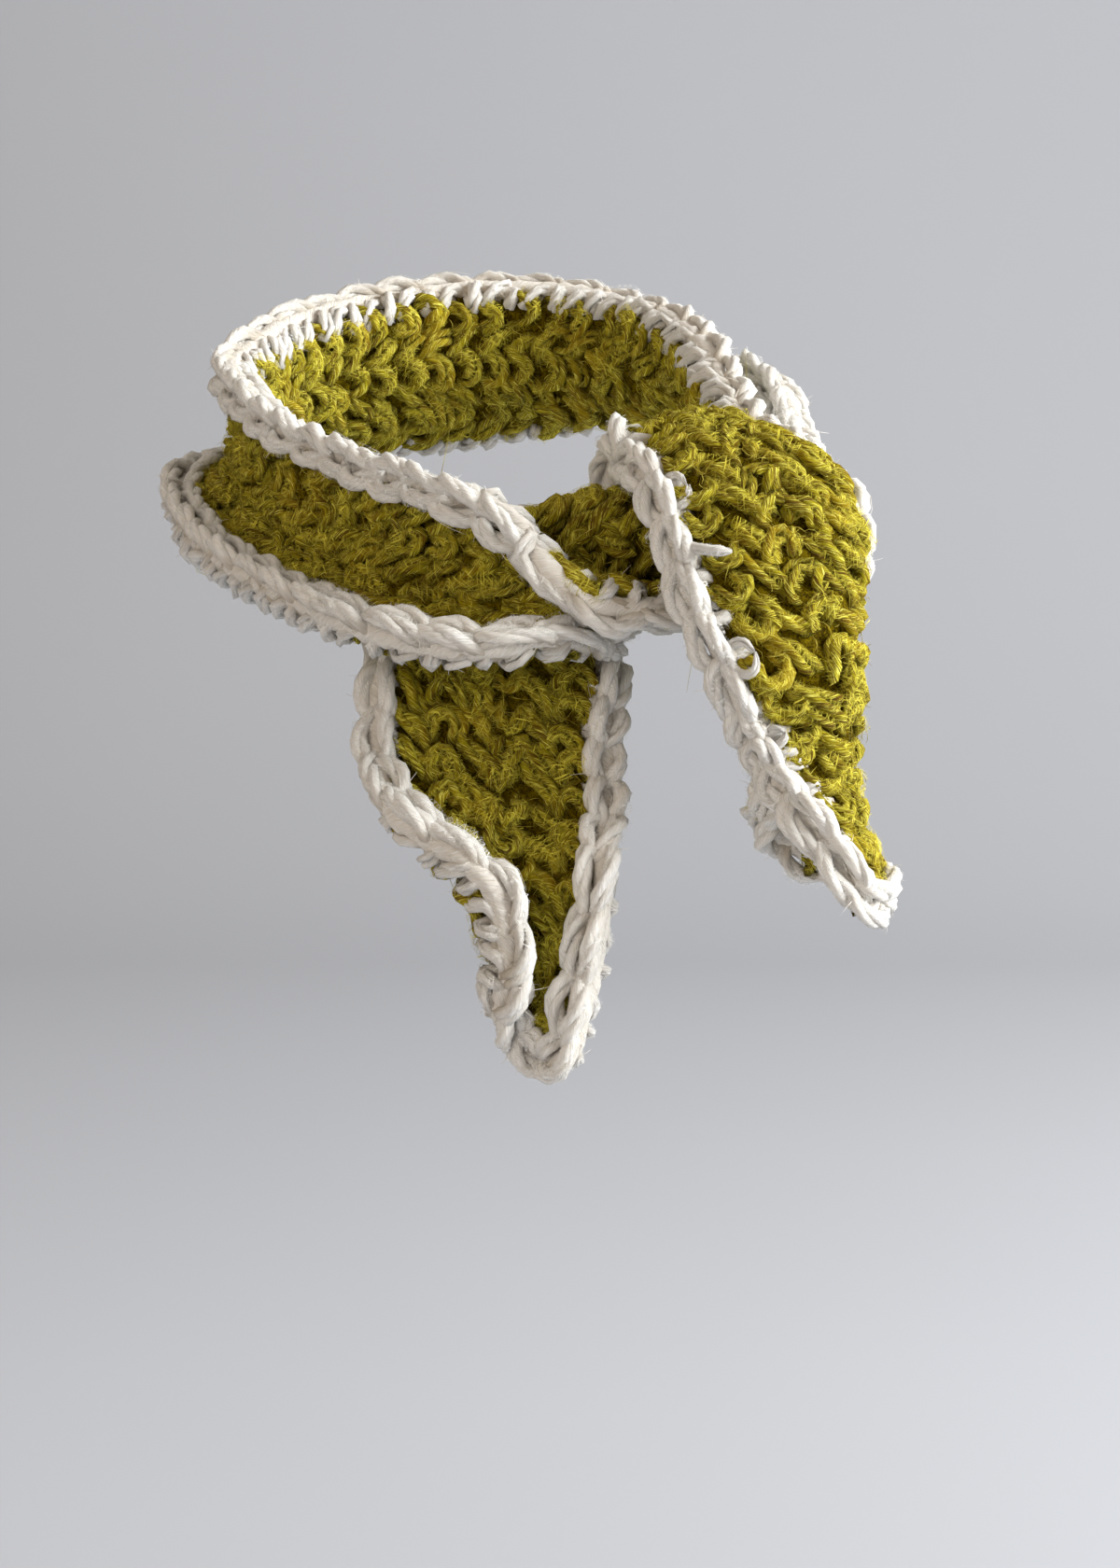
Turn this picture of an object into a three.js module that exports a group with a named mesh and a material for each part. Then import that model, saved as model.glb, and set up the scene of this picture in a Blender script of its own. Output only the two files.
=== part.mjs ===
import * as THREE from 'three';

// Crochet neckerchief: one long strip, worked in lengthwise rows and edged all round, that goes once
// round the neck and is tied with a half knot in front, so that its two pointed tails hang down.
// Millimetres, +Z up, the front faces -Y. The origin is on the neck's axis, level with the band.

// Driving dimensions
const edgingToMiddle = 24;        // from the strip's middle line to the middle of its edging
const leftTaper = 50;             // length over which the top edge slopes down at the left tail
const leftEndRun = 13;            // where that slope stops: this far from the tail's end,
const leftEndSide = 7;            // and this far above the middle line, leaving a blunt end
const rightTaper = 26;            // length over which the top edge slopes down to the right tip
const tipMargin = 6;              // spare length in the table beyond each end of the strip
const cornerRadius = 5.5;         // rounding of the edging where two edges meet
const panelThickness = 4.6;       // worked fabric, over its ribs
const ribHeight = 0.9;            // how far a rib stands above the groove beside it
const crochetRows = 6;            // ribs across the full width
const edgingInner = 4.15;         // reach of the edging from its middle toward the panel
const edgingOuter = 4.6;          // reach of the edging from its middle outward
const edgingThickness = 6.8;
const scallopDepth = 0.8;         // how far the edge draws in between two chain stitches
const edgingStitch = 9.75;        // length of one chain stitch along the edge
const seam = 0.80;                // clear gap between the panel and its edging
const panelStations = 114;
const slantFade = 30;             // length over which the stations turn from an end's slant to square

// The strip's middle line and how its width lies there. Each row of the table is one place along it.
// ux, uy, uz point from the middle toward the top edge. The three bends say how fast the width curls,
// in degrees per centimetre, at the bottom edge, the middle and the top edge: plus curls it outward,
// away from the neck. gather is the share of the full width that is left where the knot squeezes it.
const columns = ['name', 'x', 'y', 'z', 'ux', 'uy', 'uz', 'lowBend', 'midBend', 'topBend', 'gather'];
const places = [
  ['left_tip', 1, -97, -123, -0.30, -0.95, 0.05, 30, 80, 80, 0.85],
  ['left_low', 5, -92, -106.5, -0.38, -0.92, 0.10, 30, 80, 80, 0.85],
  ['left_mid', 6, -86, -91, -0.75, -0.62, 0.10, 20, 60, 70, 0.93],
  ['left_high', 3.5, -78, -77, -0.95, -0.25, 0, 6, 22, 32, 0.97],
  ['left_top', 2.5, -71, -61, -1, 0.06, -0.04, -8, 5, 12, 0.96],
  ['left_root', 3, -67, -46, -0.98, 0.16, 0.06, -20, 0, 5, 0.96],
  ['under_knot', 5, -65, -32, -0.90, 0.25, 0.30, -35, -20, -10, 0.95],
  ['knot_left', 14, -67, -19, -0.65, 0.25, 0.70, -52, -46, -46, 0.76],
  ['knot_right', 30, -68, -13, -0.32, 0.10, 0.94, -60, -60, -60, 0.64],
  ['knot_out', 48, -64, -12, -0.15, 0.02, 0.98, -58, -56, -56, 0.60],
  ['right_front', 71, -46, -15, -0.12, 0.05, 0.98, -44, -42, -42, 0.52],
  ['right_turn', 71.5, -30, -12, -0.52, 0.03, 0.82, 18, 10, 4, 0.54],
  ['right_side', 60, -8, -5, -0.85, -0.08, 0.48, 50, 44, 38, 0.74],
  ['right_back', 53, 24, 11, -0.88, -0.28, 0.40, 60, 45, 30, 0.82],
  ['back_right', 26, 51, 20, -0.25, -0.50, 0.83, 35, 30, 20, 0.86],
  ['back_left', -7, 57, 22, 0.01, -0.38, 0.93, 20, 15, 15, 0.86],
  ['left_back', -39, 42, 15, 0.12, -0.43, 0.90, 35, 18, 10, 0.86],
  ['left_side', -54, 13, 4, 0.27, -0.38, 0.89, 60, 25, 8, 0.86],
  ['left_front', -53, -5, -2, 0.38, -0.30, 0.88, 65, 25, 5, 0.86],
  ['band_1', -44, -28, -11, 0.45, -0.13, 0.89, 65, 25, 5, 0.86],
  ['band_2', -33, -43, -17, 0.44, 0.04, 0.90, 62, 25, 5, 0.86],
  ['band_3', -22, -55, -21, 0.42, 0.10, 0.90, 56, 24, 8, 0.86],
  ['band_4', -11, -66, -24, 0.44, 0.13, 0.89, 50, 24, 12, 0.86],
  ['band_5', 2, -72, -26, 0.42, 0.15, 0.89, 40, 28, 22, 0.82],
  ['band_6', 12, -74.5, -27.5, 0.42, 0.12, 0.90, 36, 36, 34, 0.68],
  ['cross_front', 21.5, -76, -26.5, 0.84, -0.36, 0.40, 40, 38, 34, 0.44],
  ['wrap_under', 36.5, -69, -27.8, 0.66, -0.74, 0.12, -4, 0, 4, 0.42],
  ['wrap_back', 42, -41, -23, 0.95, 0.30, -0.10, 10, 5, 4, 0.48],
  ['wrap_up', 41, -41, -4, 0.95, 0.28, 0.08, 0, 0, 0, 0.54],
  ['crest', 48, -50, 8, 0.97, 0.20, -0.05, -22, -22, -22, 0.82],
  ['fold_front', 57, -75, 2, 0.92, 0.38, 0, -12, -18, -34, 0.92],
  ['right_tail_1', 65, -85.5, -16, 0.81, 0.53, 0.25, -15, -20, -40, 1],
  ['right_tail_2', 71, -85.5, -33, 0.62, 0.75, 0.21, -22, -25, -40, 1],
  ['right_tail_3', 74.5, -80, -48, 0.25, 0.95, 0.05, -32, -38, -60, 0.97],
  ['right_tail_4', 73.5, -77, -62, -0.34, 0.92, -0.18, -43, -52, -115, 0.95],
  ['right_tail_5', 73.5, -79, -81, -0.70, 0.58, -0.42, -43, -48, -120, 0.97],
  ['right_tip', 78.5, -82, -99, -0.62, 0.60, -0.40, -38, -45, -90, 0.95],
].map((row) => Object.fromEntries(columns.map((name, index) => [name, row[index]])));

const degreesPerCentimetre = Math.PI / 180 / 10;

// Smooth curve through the table's rows, a value of one column at place t, counted in rows
function alongTable(values, t) {
  const last = values.length - 1;
  const i = Math.min(Math.max(Math.floor(t), 0), last - 1);
  const f = t - i;
  const before = i > 0 ? values[i - 1] : 2 * values[0] - values[1];
  const after = i + 2 <= last ? values[i + 2] : 2 * values[last] - values[last - 1];
  const from = values[i];
  const to = values[i + 1];
  const slope = (to - before) / 2;
  const slopeAfter = (after - from) / 2;
  return from + slope * f + (3 * (to - from) - 2 * slope - slopeAfter) * f * f
    + (slope + slopeAfter - 2 * (to - from)) * f * f * f;
}

const column = Object.fromEntries(columns.map((name) => [name, places.map((place) => place[name])]));
const middleAt = (t) => new THREE.Vector3(...['x', 'y', 'z'].map((name) => alongTable(column[name], t)));
const acrossLengths = places.map((place) => Math.hypot(place.ux, place.uy, place.uz));
const acrossAt = (t) => new THREE.Vector3(...['ux', 'uy', 'uz'].map((name) => {
  const unit = column[name].map((value, index) => value / acrossLengths[index]);
  return alongTable(unit, t);
}));

// Fine samples of the middle line, with the length run so far and the frame at each
const sampleCount = 1800;
const samples = [];
for (let i = 0; i <= sampleCount; i += 1) {
  const t = (i / sampleCount) * (places.length - 1);
  const middle = middleAt(t);
  const run = i === 0 ? 0 : samples[i - 1].run + middle.distanceTo(samples[i - 1].middle);
  samples.push({ t, middle, run, across: acrossAt(t) });
}
samples.forEach((sample, i) => {
  const next = samples[Math.min(i + 1, sampleCount)].middle;
  const previous = samples[Math.max(i - 1, 0)].middle;
  const travel = next.clone().sub(previous).normalize();
  sample.across.addScaledVector(travel, -sample.across.dot(travel)).normalize();
  sample.outward = new THREE.Vector3().crossVectors(travel, sample.across);
  for (const name of ['lowBend', 'midBend', 'topBend', 'gather']) {
    sample[name] = alongTable(column[name], sample.t);
  }
});
const tableLength = samples[sampleCount].run;
const stripLength = tableLength - 2 * tipMargin;

function sampleAt(run) {
  let low = 0;
  let high = sampleCount;
  while (high - low > 1) {
    const half = (low + high) >> 1;
    if (samples[half].run <= run) low = half;
    else high = half;
  }
  const share = (run - samples[low].run) / (samples[high].run - samples[low].run);
  const mix = (name) => samples[low][name] + share * (samples[high][name] - samples[low][name]);
  const mixVector = (name) => samples[low][name].clone().lerp(samples[high][name], share);
  return {
    middle: mixVector('middle'),
    across: mixVector('across').normalize(),
    outward: mixVector('outward').normalize(),
    lowBend: mix('lowBend'),
    midBend: mix('midBend'),
    topBend: mix('topBend'),
    gather: mix('gather'),
  };
}

// A point of the strip: run is the length along it from the left tip, side the distance from the
// middle line toward the top edge (both measured on the flat strip), lift the distance outward from it.
const bendSteps = 24;
function stripPoint(run, side, lift) {
  const here = sampleAt(run + tipMargin);
  const middleBend = here.midBend * degreesPerCentimetre;
  const edgeBend = (side > 0 ? here.topBend : here.lowBend) * degreesPerCentimetre;
  const turnAt = (v) => middleBend * v + (edgeBend - middleBend) * v * Math.abs(v) / (2 * edgingToMiddle);
  let along = 0;
  let out = 0;
  for (let i = 0; i < bendSteps; i += 1) {
    const turn = turnAt(side * (i + 0.5) / bendSteps);
    along += Math.cos(turn) * side / bendSteps;
    out += Math.sin(turn) * side / bendSteps;
  }
  const turn = turnAt(side);
  return here.middle
    .addScaledVector(here.across, along * here.gather - lift * Math.sin(turn))
    .addScaledVector(here.outward, out * here.gather + lift * Math.cos(turn));
}

// Closed skin over rings of points. A ring runs along one face and back along the other, so that an
// open end closes by joining each point to the one across from it; a loop joins its last ring to the first.
function skin(rings, isLoop) {
  const around = rings[0].length;
  const faces = [];
  const quad = (a, b, c, d) => faces.push(a, b, c, a, c, d);
  const spans = isLoop ? rings.length : rings.length - 1;
  for (let i = 0; i < spans; i += 1) {
    const ring = i * around;
    const nextRing = ((i + 1) % rings.length) * around;
    for (let j = 0; j < around; j += 1) {
      const k = (j + 1) % around;
      quad(ring + j, ring + k, nextRing + k, nextRing + j);
    }
  }
  if (!isLoop) {
    const end = (rings.length - 1) * around;
    for (let j = 0; j < around / 2 - 1; j += 1) {
      const k = around - 1 - j;
      quad(k, k - 1, j + 1, j);
      quad(end + j, end + j + 1, end + k - 1, end + k);
    }
  }
  const geometry = new THREE.BufferGeometry();
  const positions = rings.flat().flatMap((point) => [point.x, point.y, point.z]);
  geometry.setAttribute('position', new THREE.Float32BufferAttribute(positions, 3));
  geometry.setIndex(faces);
  geometry.computeVertexNormals();
  return geometry;
}

// Outline of the flat strip through the middle of its edging, counter-clockwise
const corners = [
  [0, -edgingToMiddle],
  [stripLength, -edgingToMiddle],
  [stripLength - rightTaper, edgingToMiddle],
  [leftTaper, edgingToMiddle],
  [leftEndRun, leftEndSide],
].map(([run, side]) => new THREE.Vector2(run, side));
const outlineCorners = corners.map((corner, i) => {
  const previous = corners[(i + corners.length - 1) % corners.length];
  const next = corners[(i + 1) % corners.length];
  const from = corner.clone().sub(previous).normalize();
  const to = next.clone().sub(corner).normalize();
  const turn = Math.acos(from.dot(to));
  const cut = cornerRadius * Math.tan(turn / 2);
  return { corner, from, to, turn, cut };
});

// Panel: the outline drawn in by the width of the edging and a seam, with ribs along the strip
const inset = edgingInner + seam;
const insetAt = (run) => edgingInner + seam / sampleAt(run + tipMargin).gather;
const panelCorners = outlineCorners.map(({ corner, from, to }) => {
  const inwardFrom = new THREE.Vector2(-from.y, from.x);
  const inwardTo = new THREE.Vector2(-to.y, to.x);
  const share = inset / (1 + inwardFrom.dot(inwardTo));
  return corner.clone().addScaledVector(inwardFrom, share).addScaledVector(inwardTo, share);
});
const [bottomLeft, bottomRight, topRight, topLeft, endLeft] = panelCorners;
const taperSlope = (topLeft.y - endLeft.y) / (topLeft.x - endLeft.x);
const panelTopAt = (run) => Math.min(edgingToMiddle - insetAt(run), endLeft.y + taperSlope * (run - endLeft.x));
const panelBottomAt = (run) => -edgingToMiddle + insetAt(run);
const panelStart = (bottomLeft.x + endLeft.x) / 2;
const panelEnd = (bottomRight.x + topRight.x) / 2;
const leftSlant = (endLeft.x - bottomLeft.x) / 2;
const rightSlant = (topRight.x - bottomRight.x) / 2;
const slantAt = (run) => leftSlant * Math.max(0, 1 - (run - panelStart) / slantFade)
  + rightSlant * Math.max(0, 1 - (panelEnd - run) / slantFade);

// Stations lie closer together where an edge of the panel turns sharply
const turnWeight = 14;
const edgeLines = [-1, 0, 1].map((end) => samples.map((sample) => {
  const side = end * (edgingToMiddle - edgingInner);
  return stripPoint(sample.run - tipMargin, side, 0);
}));
const turnAtSample = (line, i) => {
  const before = line[i].clone().sub(line[i - 1]);
  const after = line[i + 1].clone().sub(line[i]);
  return before.angleTo(after);
};
const crowding = [0];
for (let i = 1; i <= sampleCount; i += 1) {
  const turned = i < sampleCount ? Math.max(...edgeLines.map((line) => turnAtSample(line, i))) : 0;
  crowding.push(crowding[i - 1] + samples[i].run - samples[i - 1].run + turnWeight * turned);
}
function crowdingAt(run) {
  const i = samples.findIndex((sample) => sample.run > run);
  const share = (run - samples[i - 1].run) / (samples[i].run - samples[i - 1].run);
  return crowding[i - 1] + share * (crowding[i] - crowding[i - 1]);
}
function runAtCrowding(value) {
  const i = Math.max(crowding.findIndex((amount) => amount >= value), 1);
  const share = (value - crowding[i - 1]) / (crowding[i] - crowding[i - 1]);
  return samples[i - 1].run + share * (samples[i].run - samples[i - 1].run);
}

const crowdingStart = crowdingAt(panelStart + tipMargin);
const crowdingEnd = crowdingAt(panelEnd + tipMargin);
const ribLines = 2 * crochetRows;
const panelRings = [];
for (let i = 0; i <= panelStations; i += 1) {
  const share = i / panelStations;
  const run = runAtCrowding(crowdingStart + share * (crowdingEnd - crowdingStart)) - tipMargin;
  const topRun = run + slantAt(run);
  const bottomRun = run - slantAt(run);
  const top = panelTopAt(topRun);
  const bottom = panelBottomAt(bottomRun);
  const outwardHalf = [];
  const inwardHalf = [];
  for (let j = ribLines; j >= 0; j -= 1) {
    const across = j / ribLines;
    const place = [bottomRun + (topRun - bottomRun) * across, bottom + (top - bottom) * across];
    const lift = panelThickness / 2 - (j % 2 === 0 ? ribHeight : 0);
    outwardHalf.push(stripPoint(...place, lift));
    inwardHalf.unshift(stripPoint(...place, -lift));
  }
  panelRings.push([...outwardHalf, ...inwardHalf]);
}

// Edging: a chain of stitches that runs right round the strip, its middle on the rounded outline.
// That outline is made of straight pieces and arcs; a place on it is given by the distance along it.
const pieces = [];
outlineCorners.forEach(({ corner, to, cut }, i) => {
  const next = outlineCorners[(i + 1) % corners.length];
  const start = corner.clone().addScaledVector(to, cut);
  const straight = corner.distanceTo(next.corner) - cut - next.cut;
  pieces.push({ length: straight, isArc: false, start, heading: to.angle(), bend: 0 });
  pieces.push({
    length: cornerRadius * next.turn,
    isArc: true,
    start: start.clone().addScaledVector(to, straight),
    heading: to.angle(),
    bend: 1 / cornerRadius,
  });
});
const outlineLength = pieces.reduce((sum, piece) => sum + piece.length, 0);

function outlineAt(distance) {
  let rest = distance;
  const piece = pieces.find((candidate) => {
    const isHere = rest < candidate.length;
    if (!isHere) rest -= candidate.length;
    return isHere;
  });
  const { start, heading, bend, isArc } = piece;
  const angle = heading + bend * rest;
  const run = isArc ? start.x + (Math.sin(angle) - Math.sin(heading)) / bend : start.x + rest * Math.cos(heading);
  const side = isArc ? start.y - (Math.cos(angle) - Math.cos(heading)) / bend : start.y + rest * Math.sin(heading);
  return { run, side, isArc, outwardRun: Math.sin(angle), outwardSide: -Math.cos(angle) };
}

// One ring of the edging: reach is measured outward from its middle, lift off the strip's surface
const halfThick = edgingThickness / 2;
const edgingSection = [
  { reach: -edgingInner, lift: 0.55 * halfThick },
  { reach: -0.45 * edgingInner, lift: halfThick },
  { reach: 0.40 * edgingOuter, lift: halfThick },
  { reach: edgingOuter, lift: 0.42 * halfThick },
  { reach: edgingOuter, lift: -0.42 * halfThick },
  { reach: 0.40 * edgingOuter, lift: -halfThick },
  { reach: -0.45 * edgingInner, lift: -halfThick },
  { reach: -edgingInner, lift: -0.55 * halfThick },
];
const stitchCount = Math.round(outlineLength / edgingStitch);
const halfStitch = outlineLength / stitchCount / 2;
const edgingRings = [];
function addEdgingRing(distance) {
  const place = outlineAt(distance);
  const drawIn = scallopDepth * (1 - Math.cos(Math.PI * distance / halfStitch)) / 2;
  edgingRings.push(edgingSection.map(({ reach, lift }) => {
    const out = reach > 0 ? reach - drawIn : reach;
    const slim = reach > 0 ? 1 - 0.5 * drawIn / halfThick : 1;
    return stripPoint(place.run + out * place.outwardRun, place.side + out * place.outwardSide, lift * slim);
  }));
}
const sharpTurn = 0.35;          // radians within half a stitch from which a ring is added between
const outlinePoint = (distance) => {
  const place = outlineAt((distance + outlineLength) % outlineLength);
  return stripPoint(place.run, place.side, 0);
};
function turnsSharply(distance) {
  const here = outlinePoint(distance);
  const before = here.clone().sub(outlinePoint(distance - halfStitch));
  const after = outlinePoint(distance + halfStitch).sub(here);
  return before.angleTo(after) > sharpTurn;
}
for (let i = 0; i < 2 * stitchCount; i += 1) {
  const middle = (i + 0.5) * halfStitch;
  addEdgingRing(i * halfStitch);
  if (outlineAt(middle).isArc || turnsSharply(middle)) addEdgingRing(middle);
}

const greenYarn = new THREE.MeshStandardMaterial({
  name: 'green_yarn',
  color: new THREE.Color('rgb(126, 116, 22)'),
  roughness: 0.95,
  metalness: 0,
});
const whiteYarn = new THREE.MeshStandardMaterial({
  name: 'white_yarn',
  color: new THREE.Color('rgb(232, 227, 217)'),
  roughness: 0.95,
  metalness: 0,
});

const panel = new THREE.Mesh(skin(panelRings, false), greenYarn);
panel.name = 'green_panel';
const edging = new THREE.Mesh(skin(edgingRings, true), whiteYarn);
edging.name = 'white_edging';

const group = new THREE.Group();
group.name = 'crochet_neckerchief';
group.add(panel, edging);

export default group;
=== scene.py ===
import math
import bpy
import numpy as np
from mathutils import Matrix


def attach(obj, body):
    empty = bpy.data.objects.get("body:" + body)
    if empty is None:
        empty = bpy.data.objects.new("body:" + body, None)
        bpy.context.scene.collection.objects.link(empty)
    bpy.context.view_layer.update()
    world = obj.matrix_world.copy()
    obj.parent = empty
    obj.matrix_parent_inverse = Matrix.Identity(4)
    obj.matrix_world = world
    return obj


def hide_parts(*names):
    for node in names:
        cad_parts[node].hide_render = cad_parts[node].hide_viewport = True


# Crochet neckerchief: green rows of stitches, a white chain edging, and the fluff and fuzz of the yarn, laid
# on the same strip as the part's solids. Lengths are millimetres until a mesh is made.

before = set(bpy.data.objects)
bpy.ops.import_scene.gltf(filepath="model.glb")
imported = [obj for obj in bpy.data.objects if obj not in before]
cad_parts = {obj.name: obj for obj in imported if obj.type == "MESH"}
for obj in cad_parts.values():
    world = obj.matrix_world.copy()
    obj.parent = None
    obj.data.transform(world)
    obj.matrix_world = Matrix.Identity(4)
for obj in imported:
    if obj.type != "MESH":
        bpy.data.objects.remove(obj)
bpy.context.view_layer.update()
scene = bpy.context.scene
random = np.random.default_rng(11)
metre = 0.001
print("frame loaded, nodes:", sorted(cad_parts))

# The flat strip and its outline in millimetres, and how fine they are worked out
strip = {
    "edgingToMiddle": 24.0, "leftTaper": 50.0, "leftEndRun": 13.0, "leftEndSide": 7.0, "rightTaper": 26.0,
    "tipMargin": 6.0, "cornerRadius": 5.5, "rimEase": 3.5, "samples": 1800, "bendSteps": 24,
    "cornerPoints": 14, "outlinePoints": 8001,
}

# Places along the strip's middle line: x, y, z, direction toward the top edge, curl of the width at the
# bottom edge, the middle and the top edge (degrees a centimetre), and the share of its width that the
# gathered cloth keeps
stripPlaces = np.array([
    [1, -97, -123, -0.3, -0.95, 0.05, 30, 80, 80, 0.85],
    [5, -92, -106.5, -0.38, -0.92, 0.1, 30, 80, 80, 0.85],
    [6, -86, -91, -0.75, -0.62, 0.1, 20, 60, 70, 0.93],
    [3.5, -78, -77, -0.95, -0.25, 0, 6, 22, 32, 0.97],
    [2.5, -71, -61, -1, 0.06, -0.04, -8, 5, 12, 0.96],
    [3, -67, -46, -0.98, 0.16, 0.06, -20, 0, 5, 0.96],
    [5, -65, -32, -0.9, 0.25, 0.3, -35, -20, -10, 0.95],
    [14, -67, -19, -0.65, 0.25, 0.7, -52, -46, -46, 0.76],
    [30, -68, -13, -0.32, 0.1, 0.94, -60, -60, -60, 0.64],
    [48, -64, -12, -0.15, 0.02, 0.98, -58, -56, -56, 0.6],
    [71, -46, -15, -0.12, 0.05, 0.98, -44, -42, -42, 0.52],
    [71.5, -30, -12, -0.52, 0.03, 0.82, 18, 10, 4, 0.54],
    [60, -8, -5, -0.85, -0.08, 0.48, 50, 44, 38, 0.74],
    [53, 24, 11, -0.88, -0.28, 0.4, 60, 45, 30, 0.82],
    [26, 51, 20, -0.25, -0.5, 0.83, 35, 30, 20, 0.86],
    [-7, 57, 22, 0.01, -0.38, 0.93, 20, 15, 15, 0.86],
    [-39, 42, 15, 0.12, -0.43, 0.9, 35, 18, 10, 0.86],
    [-54, 13, 4, 0.27, -0.38, 0.89, 60, 25, 8, 0.86],
    [-53, -5, -2, 0.38, -0.3, 0.88, 65, 25, 5, 0.86],
    [-44, -28, -11, 0.45, -0.13, 0.89, 65, 25, 5, 0.86],
    [-33, -43, -17, 0.44, 0.04, 0.9, 62, 25, 5, 0.86],
    [-22, -55, -21, 0.42, 0.1, 0.9, 56, 24, 8, 0.86],
    [-11, -66, -24, 0.44, 0.13, 0.89, 50, 24, 12, 0.86],
    [2, -72, -26, 0.42, 0.15, 0.89, 40, 28, 22, 0.82],
    [12, -74.5, -27.5, 0.42, 0.12, 0.9, 36, 36, 34, 0.68],
    [21.5, -76, -26.5, 0.84, -0.36, 0.4, 40, 38, 34, 0.44],
    [36.5, -69, -27.8, 0.66, -0.74, 0.12, -4, 0, 4, 0.42],
    [42, -41, -23, 0.95, 0.3, -0.1, 10, 5, 4, 0.48],
    [41, -41, -4, 0.95, 0.28, 0.08, 0, 0, 0, 0.54],
    [48, -50, 8, 0.97, 0.2, -0.05, -22, -22, -22, 0.82],
    [57, -75, 2, 0.92, 0.38, 0, -12, -18, -34, 0.92],
    [65, -85.5, -16, 0.81, 0.53, 0.25, -15, -20, -40, 1],
    [71, -85.5, -33, 0.62, 0.75, 0.21, -22, -25, -40, 1],
    [74.5, -80, -48, 0.25, 0.95, 0.05, -32, -38, -60, 0.97],
    [73.5, -77, -62, -0.34, 0.92, -0.18, -43, -52, -115, 0.95],
    [73.5, -79, -81, -0.7, 0.58, -0.42, -43, -48, -120, 0.97],
    [78.5, -82, -99, -0.62, 0.6, -0.4, -38, -45, -90, 0.95],
], float)


# Each vector divided by its length
def unit(vectors):
    return vectors / np.maximum(np.linalg.norm(vectors, axis=-1, keepdims=True), 1e-9)


# Smooth curve through the rows of a table: between two rows it is the cubic whose slope at each row
# is half the step from the row before to the row after
def throughRows(rows, t):
    padded = np.vstack([2 * rows[0] - rows[1], rows, 2 * rows[-1] - rows[-2]])
    i = np.clip(np.floor(t).astype(int), 0, len(rows) - 2)
    f = (t - i)[:, None]
    before, start, end, after = padded[i], padded[i + 1], padded[i + 2], padded[i + 3]
    slope, slopeAfter = (end - before) / 2, (after - start) / 2
    square = 3 * (end - start) - 2 * slope - slopeAfter
    cube = slope + slopeAfter - 2 * (end - start)
    return start + slope * f + square * f ** 2 + cube * f ** 3


# Tangents of a path, normals made square to them, tangent x normal, and the distance from the path's start
def frameAlong(path, normals):
    tangents = unit(np.gradient(path, axis=0))
    normal = unit(normals - (normals * tangents).sum(1)[:, None] * tangents)
    length = np.concatenate([[0], np.cumsum(np.linalg.norm(np.diff(path, axis=0), axis=1))])
    return tangents, normal, np.cross(tangents, normal), length


stripPlaces[:, 3:6] = unit(stripPlaces[:, 3:6])
fine = throughRows(stripPlaces, np.linspace(0, len(stripPlaces) - 1, strip["samples"] + 1))
_, fineAcross, fineOutward, fineRun = frameAlong(fine[:, :3], fine[:, 3:6])
fineTable = np.hstack([fine[:, :3], fineAcross, fineOutward, fine[:, 6:10]])
stripLength = fineRun[-1] - 2 * strip["tipMargin"]


# Place and directions on the strip. The width leaves the middle line along an arc whose turn grows as
# bend * side, with the bend changing evenly from the middle to the edge; lift stands square on it.
def onStrip(run, side, lift):
    run, side, lift = np.broadcast_arrays(*[np.asarray(value, float) for value in (run, side, lift)])
    at = run + strip["tipMargin"]
    here = np.stack([np.interp(at, fineRun, column) for column in fineTable.T], -1)
    middle, across, outward = here[..., :3], unit(here[..., 3:6]), unit(here[..., 6:9])
    bends = np.radians(here[..., 9:12]) / 10  # for a millimetre
    edgeBend = np.where(side > 0, bends[..., 2], bends[..., 0])
    middleBend, gather = bends[..., 1], here[..., 12]

    def turnAt(v, bend, change):
        return bend * v + change * v * np.abs(v) / (2 * strip["edgingToMiddle"])

    steps = (np.arange(strip["bendSteps"]) + 0.5) / strip["bendSteps"]
    turns = turnAt(side[..., None] * steps, middleBend[..., None], (edgeBend - middleBend)[..., None])
    along, out = np.cos(turns).mean(-1) * side, np.sin(turns).mean(-1) * side
    turn = turnAt(side, middleBend, edgeBend - middleBend)
    sin, cos = np.sin(turn)[..., None], np.cos(turn)[..., None]
    clothAcross, clothNormal = across * cos + outward * sin, outward * cos - across * sin
    place = middle + across * (along * gather)[..., None] + outward * (out * gather)[..., None]
    return place + clothNormal * lift[..., None], np.cross(across, outward), clothAcross, clothNormal


# Outline through the middle of the edging, counter-clockwise: an arc at each corner that touches both of
# its sides, then points at even steps round it
def roundedOutline():
    half, length = strip["edgingToMiddle"], stripLength
    corners = np.array([
        [0, -half], [length, -half], [length - strip["rightTaper"], half],
        [strip["leftTaper"], half], [strip["leftEndRun"], strip["leftEndSide"]],
    ])
    radius, points = strip["cornerRadius"], []
    for before, corner, after in zip(np.roll(corners, 1, 0), corners, np.roll(corners, -1, 0)):
        fromUnit, toUnit = unit(corner - before), unit(after - corner)
        turned = math.acos(float(fromUnit @ toUnit))
        cut = radius * math.tan(turned / 2)
        heading = math.atan2(fromUnit[1], fromUnit[0])
        centre = corner - fromUnit * cut + radius * np.array([-fromUnit[1], fromUnit[0]])
        angle = heading + np.linspace(0, turned, strip["cornerPoints"])
        points.append(centre + radius * np.stack([np.sin(angle), -np.cos(angle)], 1))
    flat = np.vstack(points + [points[0][:1]])
    distance = np.concatenate([[0], np.cumsum(np.linalg.norm(np.diff(flat, axis=0), axis=1))])
    even = np.linspace(0, distance[-1], strip["outlinePoints"])
    return np.stack([np.interp(even, distance, flat[:, i]) for i in (0, 1)], 1), even


outlineFlat, outlineDistance = roundedOutline()
outlineLength = outlineDistance[-1]
outlineStep = outlineDistance[1]


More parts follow.
